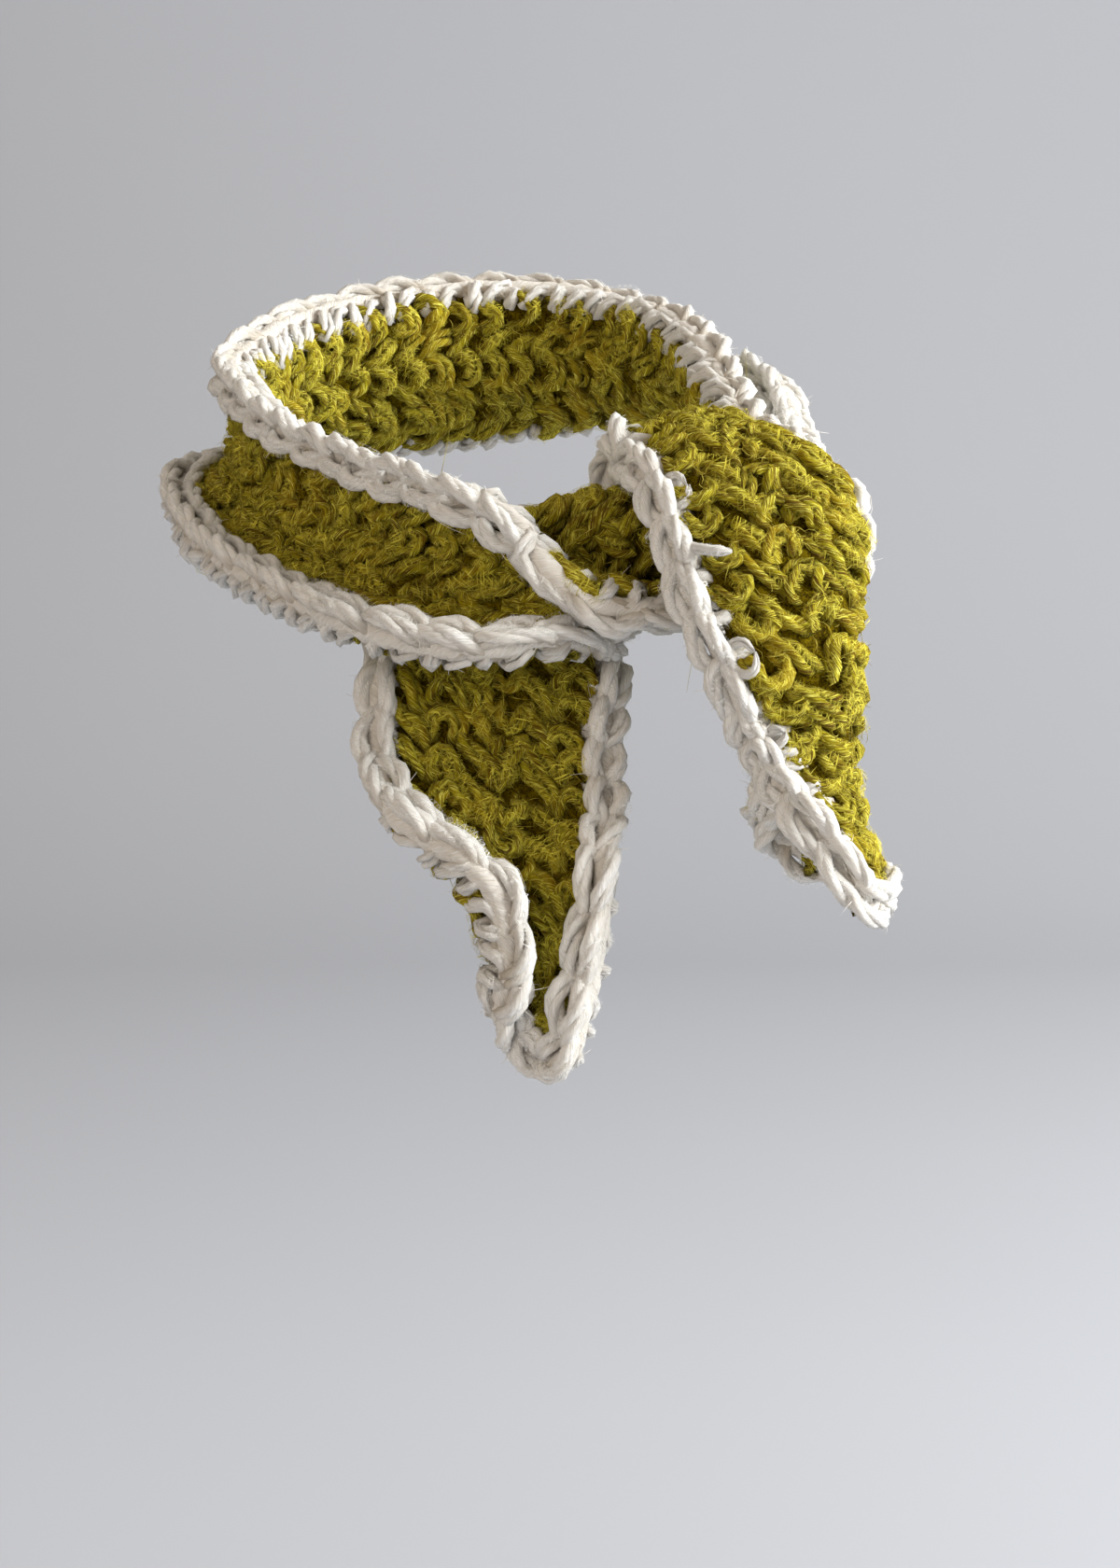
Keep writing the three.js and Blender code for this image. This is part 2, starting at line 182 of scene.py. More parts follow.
# Mean of the values within a reach of each point of the outline, which closes on itself
def roundMean(values, reach):
    wide = int(reach / outlineStep)
    padded = np.vstack([values[-1 - wide:-1], values, values[1:wide + 1]])
    total = np.vstack([np.zeros((1, values.shape[1])), np.cumsum(padded, axis=0)])
    return (total[2 * wide + 1:] - total[:-2 * wide - 1]) / (2 * wide + 1)


rimPlace, _, _, rimNormal = onStrip(outlineFlat[:, 0], outlineFlat[:, 1], 0)
rimPlace, rimNormal = roundMean(rimPlace, strip["rimEase"]), roundMean(rimNormal, 2 * strip["rimEase"])
rimTravel = np.roll(rimPlace[:-1], -1, 0) - np.roll(rimPlace[:-1], 1, 0)
rimTravel = unit(np.vstack([rimTravel, rimTravel[:1]]))
rimOut = unit(np.cross(rimTravel, rimNormal))
rimNormal = np.cross(rimOut, rimTravel)
rimTable = np.hstack([rimPlace, rimTravel, rimOut, rimNormal])


# Place on the rim: distance round the outline, then millimetres outward from the edge and off the cloth
def onRim(distance, out, lift):
    at = np.mod(distance, outlineLength)
    here = np.stack([np.interp(at, outlineDistance, column) for column in rimTable.T], -1)
    travel, outward, normal = unit(here[:, 3:6]), unit(here[:, 6:9]), unit(here[:, 9:12])
    place = here[:, :3] + outward * np.asarray(out)[:, None] + normal * np.asarray(lift)[:, None]
    return place, travel, outward, normal


# Normals carried along one repeat of a stitch without twisting, by reflecting twice at each step, and the
# twist left over at its end spread evenly, so that the next repeat joins on
def carriedNormals(points):
    tangents = unit(np.gradient(points, axis=0))
    tangents[0] = tangents[-1] = unit(points[1] - points[0] + points[-1] - points[-2])
    normal = unit(np.cross(tangents[0], [0.3, 0.9, 0.4]))  # no stitch starts in that direction
    normals = [normal]
    for i in range(len(points) - 1):
        step = points[i + 1] - points[i]
        reflected = normal - 2 * (step @ normal) / (step @ step) * step
        tangent = tangents[i] - 2 * (step @ tangents[i]) / (step @ step) * step
        change = tangents[i + 1] - tangent
        size = change @ change
        normal = reflected - 2 * (change @ reflected) / size * change if size > 1e-12 else reflected
        normals.append(normal)
    normals = np.array(normals)
    left = math.atan2(float(np.cross(normals[-1], normals[0]) @ tangents[0]), float(normals[-1] @ normals[0]))
    angle = np.linspace(0, left, len(points))[:, None]
    return normals * np.cos(angle) + np.cross(tangents, normals) * np.sin(angle)


# Repeated stitch as one long spline: the table's points at each repeat, moved together by up to the limit
# and each by itself, and the carried normals of the plain repeat
def stitchRun(table, count, samples, wobble):
    controls = len(table)
    spread = np.tile(table, (count, 1, 1)) + np.arange(count)[:, None, None] * [1, 0, 0]
    whole = random.normal(size=(count, 1, 3)) * wobble["stitch"]
    each = random.normal(size=(count, controls, 3)) * wobble["point"]
    rows = (spread + np.clip(whole, -wobble["limit"], wobble["limit"]) + each).reshape(-1, 3)
    t = np.arange(count * samples + 1) / samples * controls
    t = t[t <= len(rows) - 1]
    repeat = np.vstack([table - [1, 0, 0], table, table + [1, 0, 0]])
    one = throughRows(repeat, controls + np.arange(samples + 1) / samples * controls)
    normals = carriedNormals(one * wobble["size"])[:-1]
    return throughRows(rows, t), np.tile(normals, (count + 1, 1))[:len(t)]


# What all yarn shares: slow waves in radians a place, how many places its closed ends take and how thin they
# get, the millimetres of pattern between two plies, and how far off even a rough point may be
yarn = {
    "waves": (0.037, 0.083, 0.19, 0.41), "phase": 6.28, "endPlaces": 4, "endLeast": 0.03, "plyShift": 97.3,
    "roughest": 2,
}


# Slow waves along a length of yarn: half the amount times the sum of sin(place * step + a random phase)
def slowWaves(count, amount):
    place = np.arange(count)
    return amount / 2 * sum(np.sin(place * step + random.uniform(0, yarn["phase"])) for step in yarn["waves"])


# Rounded ends: the square root of the places to the nearer end, over how many places an end takes
def roundedEnds(count, places):
    fromEnd = np.minimum(np.arange(count), np.arange(count)[::-1])
    return np.sqrt(np.clip(fromEnd / places, yarn["endLeast"], 1))


# Faces between the rings of a tube, where point j of ring i is number i * sides + j, after their i and j
def ringFaces(rings, sides):
    i, j = np.meshgrid(np.arange(rings - 1), np.arange(sides), indexing="ij")
    k = (j + 1) % sides
    return i, j, np.stack([i * sides + j, i * sides + k, (i + 1) * sides + k, (i + 1) * sides + j], -1)


# Tube along a path: at each place a ring in the plane square to it, cos a * normal + sin a * across, times
# the thickness there, each point moved out or in a little. UV: (millimetres along, share of the way round).
def tubeAlong(path, normals, thick, sides, start, rough):
    tangents, normal, across, length = frameAlong(path, normals)
    count, length = len(path), start + length
    angle = (2 * np.pi * np.arange(sides) / sides)[:, None]
    ring = np.cos(angle) * normal[:, None] + np.sin(angle) * across[:, None]
    most = yarn["roughest"]
    uneven = 1 + rough * np.clip(random.normal(size=(count, sides, 1)), -most, most)
    points = path[:, None] + thick[:, None, None] * uneven * ring
    i, j, quads = ringFaces(count, sides)
    u = np.stack([length[i], length[i], length[i + 1], length[i + 1]], -1)
    v = np.stack([j, j + 1, j + 1, j], -1) / sides
    return {
        "points": points.reshape(-1, 3), "quads": quads.reshape(-1, 4),
        "uv": np.stack([u, v], -1).reshape(-1, 2),
        "caps": [np.arange(sides)[::-1], (count - 1) * sides + np.arange(sides)],
        "capUv": np.stack([np.repeat(length[[0, -1]], sides), np.tile(np.arange(sides) / sides, 2)], -1),
        "normals": ring.reshape(-1, 3), "tangents": np.repeat(tangents, sides, 0), "path": path,
        "normal": normal, "across": across, "radius": thick, "sides": sides,
    }


# Yarn: plies that turn round a path. The middle of a ply is the path plus offset * (cos a * normal +
# sin a * across), a being its own start plus twist * length, and it wanders a little.
def yarnPlies(path, normals, size, look):
    _, normal, across, length = frameAlong(path, normals)
    count = len(path)
    ends = roundedEnds(count, yarn["endPlaces"])
    offset = size * look["plyOffset"] * ends * (1 + slowWaves(count, look["uneven"]))
    tubes = []
    for ply in range(look["plies"]):
        turn = 2 * np.pi * ply / look["plies"] + look["twist"] * length
        inward, sideways = (
            offset * part + slowWaves(count, look["wander"]) for part in (np.cos(turn), np.sin(turn)))
        middle = path + inward[:, None] * normal + sideways[:, None] * across
        thick = size * look["plyRadius"] * ends * (1 + slowWaves(count, look["uneven"]))
        tubes.append(tubeAlong(middle, normal, thick, look["sides"], yarn["plyShift"] * ply, look["rough"]))
    return tubes


# Mesh object from whole arrays; every face list is (count, corners), and shade is one number a point: the
# openness, where low values get painted shade
def makePiece(name, points, faceLists, uv, material, shade=None):
    mesh = bpy.data.meshes.new(name)
    mesh.vertices.add(len(points))
    mesh.vertices.foreach_set("co", (np.asarray(points) * metre).astype(np.float32).ravel())
    corners = np.concatenate([np.asarray(faces).ravel() for faces in faceLists])
    totals = np.concatenate([np.full(len(faces), np.asarray(faces).shape[1]) for faces in faceLists])
    mesh.loops.add(len(corners))
    mesh.loops.foreach_set("vertex_index", corners.astype(np.int32))
    mesh.polygons.add(len(totals))
    mesh.polygons.foreach_set("loop_start", np.concatenate([[0], np.cumsum(totals)[:-1]]).astype(np.int32))
    mesh.polygons.foreach_set("loop_total", totals.astype(np.int32))
    mesh.polygons.foreach_set("use_smooth", np.ones(len(totals), bool))
    if uv is not None:
        mesh.uv_layers.new(name="yarn").data.foreach_set("uv", np.asarray(uv, np.float32).ravel())
    if shade is not None:
        mesh.attributes.new("open", "FLOAT", "POINT").data.foreach_set("value", shade.astype(np.float32))
    mesh.update(calc_edges=True)
    mesh.validate()
    mesh.materials.append(material)
    piece = bpy.data.objects.new(name, mesh)
    scene.collection.objects.link(piece)
    return piece


# 3 t^2 - 2 t^3, where t goes from 0 at the low value to 1 at the high one
def smoothStep(low, high, value):
    t = np.clip((value - low) / (high - low), 0, 1)
    return t * t * (3 - 2 * t)


# Openness of a tube's points: a smooth step between two lifts, the lift being (point - place) . direction,
# with a place and a direction for each ring. Where it is low, the finishes paint shade.
def openByLift(tube, lifts, place, direction, bothSides=True):
    sides = tube["sides"]
    lift = ((tube["points"] - np.repeat(place, sides, 0)) * np.repeat(direction, sides, 0)).sum(1)
    tube["open"] = smoothStep(*lifts, np.abs(lift) if bothSides else lift)


# The same openness all over a tube
def openEvenly(tube, openness):
    tube["open"] = np.full(len(tube["points"]), float(openness))


# Fluff: the loose fibres that stand off a strand, as a tube round it that only its finish turns into hairs
fluff = {
    "sides": 6, "uneven": 0.2, "rough": 0.12, "shift": 90, "fine": 7.5, "length": 0.5, "leans": (1.5, -1.1),
    "apart": 40, "noise": {"Scale": 1.0, "Detail": 1.0}, "slope": 14.0, "cover": 0.85,
    # The darker fluff colour is a painted shade for fluff that lies deep
    "green": {"cut": 0.61, "paintedShade": (70, 50, 1), "light": (226, 212, 76), "sheen": 0.0},
    "white": {"cut": 0.64, "paintedShade": (220, 211, 196), "light": (255, 255, 253), "sheen": 0.4},
}


# Tube of fluff at every other place of a path: its radius is that of the plies' outside, plus the gap
def fluffTube(path, normals, size, look):
    count = len(path[::2])
    reach = size * (look["plyOffset"] + look["plyRadius"]) + look["fluffGap"]
    wide = reach * roundedEnds(count, yarn["endPlaces"] / 2) * (1 + slowWaves(count, fluff["uneven"]))
    start = random.uniform(0, fluff["shift"])
    return tubeAlong(path[::2], normals[::2], wide, fluff["sides"], start, fluff["rough"])


# One strand: its plies, and its fluff added to the list
def spin(path, normals, size, look, fluffTubes):
    tubes = yarnPlies(path, normals, size, look)
    fluffTubes.append(fluffTube(path, normals, size, look))
    return tubes


# One piece of many tubes, each tube's faces moved on by the number of points before it
def makeTubePiece(name, tubes, material):
    starts = np.concatenate([[0], np.cumsum([len(tube["points"]) for tube in tubes])])
    quads = np.concatenate([tube["quads"] + start for tube, start in zip(tubes, starts)])
    caps = [np.array(tube["caps"]) + start for tube, start in zip(tubes, starts)]
    uv = np.concatenate([tube[key] for key in ("uv", "capUv") for tube in tubes])
    points, openness = (np.concatenate([tube[key] for tube in tubes]) for key in ("points", "open"))
    return makePiece(name, points, [quads, *caps], uv, material, openness)


# Sockets of a node, by name or number: a wire is linked to it, three numbers are a screen colour
def fill(tree, made, values):
    for key, value in values.items():
        if isinstance(value, Wire):
            tree.links.new(value.socket, made.inputs[key])
        else:
            made.inputs[key].default_value = linear(value) if isinstance(value, tuple) else value


# Shader maths as plain expressions: a wire is an output socket, and its operators add Math nodes
class Wire:
    def __init__(self, tree, socket):
        self.tree, self.socket = tree, socket

    def maths(self, operation, *values):
        node = self.tree.nodes.new("ShaderNodeMath")
        node.operation = operation
        fill(self.tree, node, dict(enumerate(values)))
        return Wire(self.tree, node.outputs[0])

    def __add__(self, other): return self.maths("ADD", self, other)
    def __radd__(self, other): return self.maths("ADD", other, self)
    def __sub__(self, other): return self.maths("SUBTRACT", self, other)
    def __rsub__(self, other): return self.maths("SUBTRACT", other, self)
    def __mul__(self, other): return self.maths("MULTIPLY", self, other)
    def __rmul__(self, other): return self.maths("MULTIPLY", other, self)
    def sin(self): return self.maths("SINE", self)
    def cos(self): return self.maths("COSINE", self)
    def clamp(self): return self.maths("MAXIMUM", self.maths("MINIMUM", self, 1.0), 0.0)


# A material. Its method node adds a node, with the settings first and then its sockets' values or links.
class Finish:
    def __init__(self, name):
        self.material = bpy.data.materials.new(name)
        self.material.use_nodes = True
        self.tree = self.material.node_tree
        self.shader = next(node for node in self.tree.nodes if node.type == "BSDF_PRINCIPLED")

    def node(self, kind, settings=None, values=None, output=0):
        made = self.tree.nodes.new(kind)
        for key, value in (settings or {}).items():
            setattr(made, key, value)
        fill(self.tree, made, values or {})
        return Wire(self.tree, made.outputs[output])

    def mix(self, factor, first, second):
        return self.node("ShaderNodeMix", {"data_type": "RGBA"}, {0: factor, 6: first, 7: second}, 2)

    def noise(self, values, vector=None):
        vector = vector or self.node("ShaderNodeTexCoord", output="Object")
        return self.node("ShaderNodeTexNoise", None, {"Vector": vector, **values})

    # Openness attribute: where it is low, a finish mixes in painted shade
    def openness(self):
        return self.node("ShaderNodeAttribute", {"attribute_name": "open"}, output="Fac")

    def shade(self, values):
        fill(self.tree, self.shader, values)
        return self.material


# Screen colour from 0 to 255 as linear light
def linear(colour):
    srgb = np.array(colour) / 255
    return (*np.where(srgb <= 0.04045, srgb / 12.92, ((srgb + 0.055) / 1.055) ** 2.4).tolist(), 1.0)


# The two yarns: plies and fluff as shares of a strand's size, twist in radians a millimetre, and colours.
# The darkest colour is a painted shade for where a strand lies deep.
greenYarn = {
    "plies": 3, "plyRadius": 0.52, "plyOffset": 0.54, "twist": 0.30, "sides": 5, "fluffGap": 0.22,
    "uneven": 0.20, "wander": 0.30, "rough": 0.10, "streaks": 1.4, "streakLength": 0.12, "contrast": 5.5,
    "paintedShade": (40, 27, 1), "shade": (96, 70, 2), "main": (184, 172, 16), "light": (246, 238, 112),
    "tint": (166, 130, 6), "sheen": 0.0, "sheenTint": (214, 204, 90),
}
whiteYarn = {
    "plies": 3, "plyRadius": 0.60, "plyOffset": 0.47, "twist": 0.24, "sides": 6, "fluffGap": 0.06,
    "uneven": 0.16, "wander": 0.28, "rough": 0.10, "streaks": 1.4, "streakLength": 0.10, "contrast": 4.0,
    "paintedShade": (196, 184, 166), "shade": (232, 228, 220), "main": (252, 250, 246), "light": (255, 255, 254),
    "tint": (246, 240, 230), "sheen": 0.3, "sheenTint": (255, 252, 248),
}
postYarn = {**whiteYarn, "sides": 5}
fibreLook = {
    "coarse": {"Scale": 1.1, "Detail": 2.0, "Roughness": 0.6}, "coarseShare": 0.45, "coarseHeight": 0.7,
    "thin": {"Scale": 3.2, "Detail": 3.0, "Roughness": 0.7}, "thinShare": 0.55, "middle": 0.45,
    "patches": {"Scale": 70.0, "Detail": 3.0}, "patchShare": 0.6, "tintFrom": 0.48, "tintSlope": 4.0,
    "tintShare": 0.6, "paintedHighlightFrom": 0.54, "paintedHighlightSlope": 9.0, "bump": {"Strength": 0.9, "Distance": 0.0008},
}


# Place on a strand, from its UV, wound into a helix: its length times a factor, then cos and sin of the
# angle times another, so that a noise there is drawn out along the strand
def woundPlace(finish, lean, length, fine, shift=0.0):
    parts = finish.node("ShaderNodeUVMap", {"uv_map": "yarn"})
    along, around = (finish.node("ShaderNodeSeparateXYZ", None, {0: parts}, axis) for axis in "XY")
    angle = around * (2 * math.pi) + along * lean
    return finish.node("ShaderNodeCombineXYZ", None, {
        "X": along * length + shift, "Y": angle.cos() * fine, "Z": angle.sin() * fine,
    })


# Yarn: fibres are two noises drawn out along each ply, and where the yarn lies deep its colour goes to a
# painted shade
def yarnFinish(name, look):
    finish = Finish(name)
    lay = woundPlace(finish, 2 * look["twist"], look["streakLength"], look["streaks"])
    coarse, thin = finish.noise(fibreLook["coarse"], lay), finish.noise(fibreLook["thin"], lay)
    patches = finish.noise(fibreLook["patches"])
    fibres = (coarse * fibreLook["coarseShare"] + thin * fibreLook["thinShare"] - 0.5) * look["contrast"]
    level = (fibres + fibreLook["middle"] + (patches - 0.5) * fibreLook["patchShare"]).clamp()
    tint = ((patches - fibreLook["tintFrom"]) * fibreLook["tintSlope"]).clamp() * fibreLook["tintShare"]
    # Painted highlight: the crests of the thin noise get the light colour, as glints along the fibres
    light = ((thin - fibreLook["paintedHighlightFrom"]) * fibreLook["paintedHighlightSlope"]).clamp()
    body = finish.mix(level, look["shade"], look["main"])
    tinted = finish.mix(tint, body, look["tint"])
    bright = finish.mix(light, tinted, look["light"])
    # Painted shade: low openness mixes in the darkest colour
    colour = finish.mix(finish.openness(), look["paintedShade"], bright)
    height = coarse * fibreLook["coarseHeight"] + thin
    bump = finish.node("ShaderNodeBump", None, {**fibreLook["bump"], "Height": height})
    return finish.shade({
        "Base Color": colour, "Roughness": 0.9, "Normal": bump, "Sheen Weight": look["sheen"],
        "Sheen Roughness": 0.4, "Sheen Tint": look["sheenTint"], "Specular IOR Level": 0.2,
    })


# Fluff: two noises drawn out along crossing helices round the strand, of which only the crests show. Its
# colour goes to a painted shade where it lies deep.
def fluffFinish(name, look):
    finish = Finish(name)
    colour = finish.mix(finish.openness(), look["paintedShade"], look["light"])
    hairs = 0.0
    for lean in fluff["leans"]:
        lay = woundPlace(finish, lean, fluff["length"], fluff["fine"], fluff["apart"] * lean)
        hairs = ((finish.noise(fluff["noise"], lay) - look["cut"]) * fluff["slope"]).clamp() + hairs
    return finish.shade({
        "Base Color": colour, "Roughness": 0.9, "Alpha": hairs.clamp() * fluff["cover"],
        "Specular IOR Level": 0.15, "Sheen Weight": look["sheen"],
    })


greenFinish = yarnFinish("green_yarn", greenYarn)
whiteFinish = yarnFinish("white_yarn", whiteYarn)

# Core: the matted inside of the cloth, seen only between the stitches, coloured dark as a painted shade of
# the depth there
core = {
    "thickness": 3.2, "insetFromRim": 1.6, "endGap": 1, "stations": 330, "across": 18, "lumps": 0.55,
    "lumpsToRim": 0.3, "rimSlope": 4, "rimLeast": 0.3, "paintedShade": (50, 38, 1), "olive": (118, 101, 3),
    "tufts": {"Scale": 900.0, "Detail": 5.0, "Distortion": 1.2}, "tuftFrom": 0.38, "tuftSlope": 3.0,
    "bump": {"Strength": 0.9, "Distance": 0.0012},
}


# Core finish: one fine noise gives the colour, from a dark painted shade to olive, and the bump
def coreFinish():
    finish = Finish("green_core")
    tufts = finish.noise(core["tufts"])
    olive = ((tufts - core["tuftFrom"]) * core["tuftSlope"]).clamp()
    colour = finish.mix(olive, core["paintedShade"], core["olive"])
    bump = finish.node("ShaderNodeBump", None, {**core["bump"], "Height": tufts})
    return finish.shade({"Base Color": colour, "Roughness": 0.95, "Normal": bump, "Specular IOR Level": 0.05})


# Top and bottom of the strip's outline at a run, drawn in by an inset: the lowest of the straight top edge,
# the two slanted sides of the left end and the one of the right end
def panelSides(run, inset):
    edge, leftSide = strip["edgingToMiddle"], strip["leftEndSide"]
    half = edge - inset
    leftSlope = (edge - leftSide) / (strip["leftTaper"] - strip["leftEndRun"])
    left = leftSide + (run - strip["leftEndRun"]) * leftSlope
    start = -edge + run * ((edge + leftSide) / strip["leftEndRun"])
    right = edge - (run - stripLength + strip["rightTaper"]) * (2 * edge / strip["rightTaper"])
    top = np.minimum.reduce([np.full_like(run, half), left - inset, start - inset, right - inset])
    return np.maximum(top, -half), -half


# Core sheet: a front and a back grid over run and side, each half the thickness off the strip and less
# toward its long edges, (sin of pi * share) times a slope, with small lumps, joined round the rim
def makeCore():
    firstRun = core["insetFromRim"] + core["endGap"]
    run = np.linspace(firstRun, stripLength - core["insetFromRim"] - core["endGap"], core["stations"])
    top, bottom = panelSides(run, core["insetFromRim"])
    share = np.linspace(0, 1, core["across"])
    side = bottom + (top - bottom)[:, None] * share
    runs = np.repeat(run[:, None], core["across"], 1)
    crown = np.sin(np.pi * share)
    lumps = random.normal(size=(2, *runs.shape)) * core["lumps"] * crown ** core["lumpsToRim"]
    thin = np.clip(crown * core["rimSlope"], core["rimLeast"], 1)
    front = onStrip(runs, side, core["thickness"] / 2 * thin + lumps[0])[0].reshape(-1, 3)
    back = onStrip(runs, side, -core["thickness"] / 2 * thin + lumps[1])[0].reshape(-1, 3)
    points, rows, columns = np.vstack([front, back]), core["stations"], core["across"]
    i, j = np.meshgrid(np.arange(rows - 1), np.arange(columns - 1), indexing="ij")
    a = (i * columns + j).ravel()
    frontFaces = np.stack([a, a + columns, a + columns + 1, a + 1], -1)
    behind = rows * columns
    rim = np.concatenate([
        np.arange(rows) * columns,
        (rows - 1) * columns + np.arange(1, columns),
        (np.arange(rows - 2, -1, -1)) * columns + columns - 1,
        np.arange(columns - 2, 0, -1),
    ])
    following = np.roll(rim, -1)
    rimFaces = np.stack([following, rim, rim + behind, following + behind], -1)
    faces = [frontFaces, frontFaces[:, ::-1] + behind, rimFaces]
    return makePiece("core_sheet", points, faces, None, coreFinish())


coreSheet = makeCore()
print("core sheet made")

# Green rows. A rope stitch is a slanted leg in front and a small arch behind, an arch stitch the other way
# round. x counts stitches along the row, y row heights from its middle, z millimetres off the cloth. Between
# the two lifts of "open" or "fluffOpen", yarn or fluff goes from its painted-shade colour, where it lies
# deep, to its own.
greenRows = {
    "rows": 6, "stitch": 7.3, "samples": 18, "reach": 20.4, "ropeSize": 2.1, "archSize": 1.95,
    "overlap": 1.14, "leftGap": 5.5, "rightGap": 7.0, "roomNeeded": 0.1, "runs": 3000,
    "open": (0.0, 3.2), "fluffOpen": (0.6, 4.6),
    "wobble": {"stitch": [0.12, 0.10, 0.40], "point": [0.05, 0.07, 0.30],
               "size": [7.3, 6.7, 1], "limit": 0.6},
}
ropeStitch = np.array([
    [0.00, -0.44, 0.4], [0.24, -0.36, 2.0], [0.56, -0.10, 2.7], [0.90, 0.22, 2.4], [1.14, 0.44, 1.2],
    [1.12, 0.46, -0.8], [0.76, 0.38, -2.3], [0.46, 0.06, -2.7], [0.56, -0.28, -2.5], [0.86, -0.44, -1.3],
])
archStitch = np.array([
    [0.02, -0.42, -0.5], [0.10, -0.40, 1.3], [0.36, -0.38, 2.4], [0.64, -0.20, 2.8], [0.74, 0.06, 2.8],
    [0.60, 0.30, 2.6], [0.34, 0.38, 2.1], [0.08, 0.36, 0.9], [0.04, 0.38, -1.0], [0.32, 0.24, -2.4],
    [0.64, -0.04, -2.7], [0.90, -0.32, -2.2],
])


# Normals of the plain stitch, their parts measured along the directions at each place
def turnInto(normals, *directions):
    return sum(normals[:, i:i + 1] * direction for i, direction in enumerate(directions))


# Spline of a stitch table carried onto the strip: run is start + x * stitch, side is middle + y * height
def rowTubes(isRope, start, end, middle, height, flip):
    table = ropeStitch if isRope else archStitch
    size = greenRows["ropeSize" if isRope else "archSize"]
    count = max(int(round((end - start) / greenRows["stitch"])), 1)
    stitch = (end - start) / count
    local, normals = stitchRun(table, count, greenRows["samples"], greenRows["wobble"])
    run = end - local[:, 0] * stitch if flip else start + local[:, 0] * stitch
    side = middle + local[:, 1] * height * greenRows["overlap"]
    place, travel, across, normal = onStrip(run, side, local[:, 2])
    turned = turnInto(normals, travel, across, normal)
    tubes = spin(place, turned, size, greenYarn, greenFluff)
    cloth = place - normal * local[:, 2:]
    # Painted shade: the yarn and fluff are darker the nearer they lie to the cloth
    for tube in tubes:
        openByLift(tube, greenRows["open"], cloth, normal)
    openByLift(greenFluff[-1], greenRows["fluffOpen"], cloth[::2], normal[::2])
    return tubes


greenTubes, greenPieces, greenFluff = [], [], []
rowHeight = 2 * greenRows["reach"] / greenRows["rows"]
runs = np.linspace(0, stripLength, greenRows["runs"])
top = panelSides(runs, strip["edgingToMiddle"] - greenRows["reach"])[0]
for row in range(greenRows["rows"]):
    middle = -greenRows["reach"] + (row + 0.5) * rowHeight
    held = runs[top >= middle + greenRows["roomNeeded"] * rowHeight]
    start, end = max(held[0], greenRows["leftGap"]), min(held[-1], stripLength - greenRows["rightGap"])
    isRope, flip = row % 2 == 1, row % 4 == 2
    tubes = rowTubes(isRope, start, end, middle, rowHeight, flip)
    greenTubes += tubes
    greenPieces.append(makeTubePiece(f"green_row_{row + 1}", tubes, greenFinish))
print("green rows made,", sum(len(tube["quads"]) * 2 for tube in greenTubes), "triangles")

# White edging: a chain whose loops each pass through the one before, over posts that wrap the edge, and a
# soft strand that fills the chain. x counts stitches round the rim, y and z are millimetres across the
# chain and off its face.
edging = {
    "stitch": 9.75, "size": 1.95, "samples": 24, "tilt": 28.0, "chainOut": 0.5, "chainLift": 1.9,
    "chainOpen": (-2.0, 1.8), "chainFluffOpen": (-2.0, 2.2), "postOpen": (-0.5, 3.0),
    "postSize": 1.6, "postSamples": 16, "frontReach": 0.6, "backFrom": -1,
    "postsShownFrom": 585.0, "postsFadeIn": 12, "postsShownPast": 4,
    "fillSize": 2.3, "fillSamples": 6, "fillSides": 8, "fillOut": 0.4, "fillLift": 0.5,
    "fillWander": 0.3, "fillUneven": 0.15, "fillRough": 0.1, "fillOpen": 0.65,
    "wobble": {"stitch": [0.04, 0.25, 0.22], "point": [0.02, 0.2, 0.2],
               "size": [9.75, 1, 1], "limit": 0.6},
}
chainStitch = np.array([
    [0.02, -0.8, 0.2], [0.26, -2.1, 1.5], [0.60, -2.9, 2.0], [0.94, -2.5, 1.2], [1.18, -0.8, -0.8],
    [1.12, 1.4, -0.4], [0.88, 2.7, 1.3], [0.54, 2.9, 2.0], [0.22, 2.0, 1.5], [0.00, 0.8, 0.1],
    [0.06, 0.3, -1.5], [0.38, 0.1, -2.0], [0.74, -0.2, -1.9],
])
postWrap = np.array([
    [0.02, -0.4, 1.0], [0.00, -2.6, 2.2], [0.00, -4.4, 1.8], [0.02, -5.2, 0.0], [0.06, -4.8, -2.2],
    [0.14, -2.6, -3.0], [0.20, 0.0, -2.4], [0.24, 0.8, -0.4], [0.28, 0.0, 1.0], [0.30, -2.4, 2.4],
    [0.33, -4.4, 1.9], [0.36, -5.2, 0.0], [0.42, -4.8, -2.2], [0.52, -2.4, -2.9], [0.66, 0.0, -2.4],
    [0.84, 0.8, -1.0],
])
# The loose end's rows and the loose loops' centres: distance round the rim, millimetres out and off the
# cloth, and for a loop its half width along the rim and its reach across it
loose = {
    "end": [[661, -1, 2.6], [663, -3.6, 4.8], [665, -7, 5.7], [666.5, -10.5, 5.2]], "endSize": 1.3,
    "loops": [(650, -3.2, 3.6, 3.2, 2.6), (684, -4.0, 4.0, 2.8, 2.6), (706, -3.0, 3.4, 3.0, 2.6)],
    "loopRows": 8, "loopSize": 1.05, "loopWave": 0.6, "samples": 20,
}
edgeCount = int(round(outlineLength / edging["stitch"]))
edgeStitch = outlineLength / edgeCount


